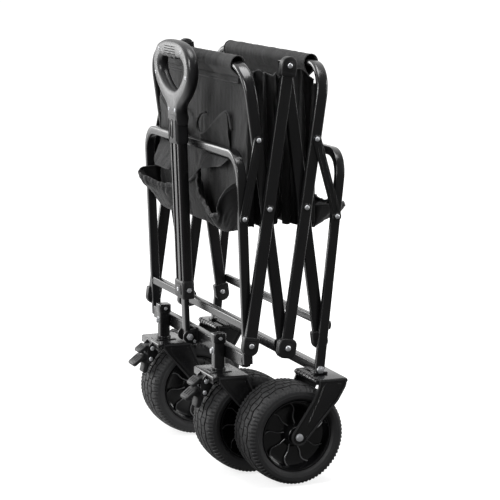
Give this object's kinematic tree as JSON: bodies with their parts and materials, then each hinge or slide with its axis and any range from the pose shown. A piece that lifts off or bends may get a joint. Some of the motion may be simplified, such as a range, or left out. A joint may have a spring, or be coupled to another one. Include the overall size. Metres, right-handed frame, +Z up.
{
  "type": "folding beach cart",
  "caption": "Folding four-wheel beach cart standing folded: scissor tube frame, cloth basket, wide wheels, braked swivelling casters and a telescoping pull handle.",
  "frame": {"origin": "on the ground under the middle of the folded cart's box", "axes": "+X to the cart's right side, -Y towards the handle and the swivelling wheels, +Z up"},
  "size_m": [0.6254, 0.2828, 0.783],
  "materials": {
    "frame_steel": "semi-gloss black powder coat",
    "black_plastic": "moulded satin",
    "grip": "moulded satin grey",
    "pedal": "moulded grey",
    "zinc": "zinc plated",
    "tyre": "treaded rubber",
    "rim": "gloss black moulding",
    "cloth": "black woven polyester"
  },
  "bodies": {
    "hinge_base": {"bottom_hinge_pin_left": "zinc", "bottom_hinge_pin_right": "zinc"},
    "front_bail": {"front_bail_hoop": "frame_steel"},
    "rear_bail": {"rear_bail_hoop": "frame_steel", "rear_bail_foot_cap_left": "black_plastic", "rear_bail_foot_cap_right": "black_plastic"},
    "front_bars": {"front_bar_left": "frame_steel", "front_bar_right": "frame_steel", "front_foot_cap_left": "black_plastic", "front_foot_cap_right": "black_plastic", "front_top_cap_left": "black_plastic", "front_top_cap_right": "black_plastic"},
    "rear_bars": {"rear_bar_left": "frame_steel", "rear_bar_right": "frame_steel", "rear_foot_cap_left": "black_plastic", "rear_foot_cap_right": "black_plastic"},
    "front_frame": {"front_end_frame": "frame_steel", "front_upper_crossbar": "frame_steel", "front_lower_crossbar": "frame_steel", "handle_bracket": "frame_steel", "handle_pivot_bolt": "zinc", "caster_socket_left": "frame_steel", "caster_socket_right": "frame_steel"},
    "rear_frame": {"rear_end_frame": "frame_steel", "rear_upper_crossbar": "frame_steel", "rear_lower_crossbar": "frame_steel", "rear_fork_left": "frame_steel", "rear_fork_right": "frame_steel", "rear_axle_left": "zinc", "rear_axle_right": "zinc"},
    "front_links": {"front_link_left": "frame_steel", "front_link_right": "frame_steel"},
    "rear_links": {"rear_link_left": "frame_steel", "rear_link_right": "frame_steel"},
    "handle_lower": {"handle_inner_tube": "frame_steel"},
    "handle_upper": {"handle_outer_tube": "frame_steel", "handle_collar": "black_plastic", "handle_grip": "grip"},
    "hem_front": {"basket_front_hem": "cloth"},
    "hem_rear": {"basket_rear_hem": "cloth"},
    "panel_front": {"basket_front_panel": "cloth"},
    "panel_rear": {"basket_rear_panel": "cloth"},
    "sides_front": {"basket_front_sides": "cloth"},
    "sides_rear": {"basket_rear_sides": "cloth"},
    "caster_left": {"front_fork_left": "frame_steel", "front_axle_left": "zinc"},
    "front_wheel_left": {"front_tyre_left": "tyre", "front_rim_left": "rim"},
    "rear_wheel_left": {"rear_tyre_left": "tyre", "rear_rim_left": "rim"},
    "brake_left": {"brake_pedal_left": "pedal"},
    "release_left": {"release_pedal_left": "pedal"},
    "caster_right": {"front_fork_right": "frame_steel", "front_axle_right": "zinc"},
    "front_wheel_right": {"front_tyre_right": "tyre", "front_rim_right": "rim"},
    "rear_wheel_right": {"rear_tyre_right": "tyre", "rear_rim_right": "rim"},
    "brake_right": {"brake_pedal_right": "pedal"},
    "release_right": {"release_pedal_right": "pedal"}
  },
  "joints": [
    {"name": "fold", "type": "hinge", "parent": "hinge_base", "child": "front_bail", "pos_m": [0, 0.0166, 0.2472], "axis": [1, 0, 0], "range_deg": [0, 51.96]},
    {"name": "rear_bail_hinge", "type": "hinge", "parent": "hinge_base", "child": "rear_bail", "pos_m": [0, 0.0166, 0.2472], "axis": [1, 0, 0], "range_deg": [-52.46, 0.5]},
    {"name": "front_scissor", "type": "hinge", "parent": "front_bail", "child": "front_bars", "pos_m": [0, -0.01898, 0.4991], "axis": [1, 0, 0], "range_deg": [-104.42, 0.5]},
    {"name": "rear_scissor", "type": "hinge", "parent": "rear_bail", "child": "rear_bars", "pos_m": [0, 0.05218, 0.4991], "axis": [1, 0, 0], "range_deg": [-0.5, 104.42]},
    {"name": "front_foot", "type": "hinge", "parent": "front_bars", "child": "front_frame", "pos_m": [0, -0.05333, 0.25592], "axis": [1, 0, 0], "range_deg": [-0.5, 57.54]},
    {"name": "rear_foot", "type": "hinge", "parent": "rear_bars", "child": "rear_frame", "pos_m": [0, 0.08653, 0.25592], "axis": [1, 0, 0], "range_deg": [-55.19, 0.5]},
    {"name": "front_link_hinge", "type": "hinge", "parent": "front_frame", "child": "front_links", "pos_m": [0, -0.06241, 0.48193], "axis": [1, 0, 0], "range_deg": [-101.37, 0.5]},
    {"name": "rear_link_hinge", "type": "hinge", "parent": "rear_frame", "child": "rear_links", "pos_m": [0, 0.10939, 0.48096], "axis": [1, 0, 0], "range_deg": [-0.5, 93.01]},
    {"name": "front_hem_turn", "type": "hinge", "parent": "front_bail", "child": "hem_front", "pos_m": [0, -0.05431, 0.74922], "axis": [1, 0, 0], "range_deg": [-52.46, 0.5]},
    {"name": "rear_hem_turn", "type": "hinge", "parent": "rear_bail", "child": "hem_rear", "pos_m": [0, 0.08751, 0.74922], "axis": [1, 0, 0], "range_deg": [-0.5, 52.46]},
    {"name": "front_panel_swing", "type": "hinge", "parent": "hem_front", "child": "panel_front", "pos_m": [0, -0.05431, 0.74922], "axis": [1, 0, 0], "range_deg": [-0.5, 6.5]},
    {"name": "rear_panel_swing", "type": "hinge", "parent": "hem_rear", "child": "panel_rear", "pos_m": [0, 0.08751, 0.74922], "axis": [1, 0, 0], "range_deg": [-6.5, 0.5]},
    {"name": "front_side_slide", "type": "slide", "parent": "hem_front", "child": "sides_front", "axis": [0, 1, 0], "range_m": [-0.002, 0.3702]},
    {"name": "rear_side_slide", "type": "slide", "parent": "hem_rear", "child": "sides_rear", "axis": [0, -1, 0], "range_m": [-0.002, 0.3702]},
    {"name": "handle_tilt", "type": "hinge", "parent": "front_frame", "child": "handle_lower", "pos_m": [0, -0.0779, 0.2252], "axis": [1, 0, 0], "range_deg": [0, 100]},
    {"name": "handle_slide", "type": "slide", "parent": "handle_lower", "child": "handle_upper", "axis": [0, -0.0401, 0.9992], "range_m": [0, 0.2]},
    {"name": "caster_right_swivel", "type": "hinge", "parent": "front_frame", "child": "caster_right", "pos_m": [0.153, -0.071, 0.2], "axis": [0, 0, 1], "range_deg": [0, 86]},
    {"name": "front_wheel_right_spin", "type": "hinge", "parent": "caster_right", "child": "front_wheel_right", "pos_m": [0.153, -0.0167, 0.0916], "axis": [1, 0, 0], "continuous": true},
    {"name": "rear_wheel_right_spin", "type": "hinge", "parent": "rear_frame", "child": "rear_wheel_right", "pos_m": [0.257, 0.0249, 0.0916], "axis": [1, 0, 0], "continuous": true},
    {"name": "brake_right_press", "type": "hinge", "parent": "caster_right", "child": "brake_right", "pos_m": [0.153, -0.1034, 0.153], "axis": [1, 0, 0], "range_deg": [0, 9]},
    {"name": "brake_right_release", "type": "hinge", "parent": "caster_right", "child": "release_right", "pos_m": [0.153, -0.1004, 0.1735], "axis": [1, 0, 0], "range_deg": [-9.5, 0.5]},
    {"name": "caster_left_swivel", "type": "hinge", "parent": "front_frame", "child": "caster_left", "pos_m": [-0.153, -0.071, 0.2], "axis": [0, 0, -1], "range_deg": [0, 86]},
    {"name": "front_wheel_left_spin", "type": "hinge", "parent": "caster_left", "child": "front_wheel_left", "pos_m": [-0.153, -0.0167, 0.0916], "axis": [1, 0, 0], "continuous": true},
    {"name": "rear_wheel_left_spin", "type": "hinge", "parent": "rear_frame", "child": "rear_wheel_left", "pos_m": [-0.257, 0.0249, 0.0916], "axis": [1, 0, 0], "continuous": true},
    {"name": "brake_left_press", "type": "hinge", "parent": "caster_left", "child": "brake_left", "pos_m": [-0.153, -0.1034, 0.153], "axis": [1, 0, 0], "range_deg": [0, 9]},
    {"name": "brake_left_release", "type": "hinge", "parent": "caster_left", "child": "release_left", "pos_m": [-0.153, -0.1004, 0.1735], "axis": [1, 0, 0], "range_deg": [-9.5, 0.5]}
  ],
  "couplings": [
    {"joint": "rear_bail_hinge", "follows": "fold", "ratio": -1},
    {"joint": "front_scissor", "follows": "fold", "ratio": -2},
    {"joint": "rear_scissor", "follows": "fold", "ratio": 2},
    {"joint": "front_foot", "follows": "fold", "ratio": 1.0978},
    {"joint": "rear_foot", "follows": "fold", "ratio": -1.0525},
    {"joint": "front_link_hinge", "follows": "fold", "ratio": -1.9414},
    {"joint": "rear_link_hinge", "follows": "fold", "ratio": 1.7804},
    {"joint": "front_hem_turn", "follows": "fold", "ratio": -1},
    {"joint": "rear_hem_turn", "follows": "fold", "ratio": 1},
    {"joint": "front_panel_swing", "follows": "fold", "ratio": 0.11547},
    {"joint": "rear_panel_swing", "follows": "fold", "ratio": -0.11547},
    {"joint": "front_side_slide", "follows": "fold", "m_per_rad": 0.40597},
    {"joint": "rear_side_slide", "follows": "fold", "m_per_rad": 0.40597},
    {"joint": "brake_right_release", "follows": "brake_right_press", "ratio": -1},
    {"joint": "brake_left_release", "follows": "brake_left_press", "ratio": -1}
  ]
}
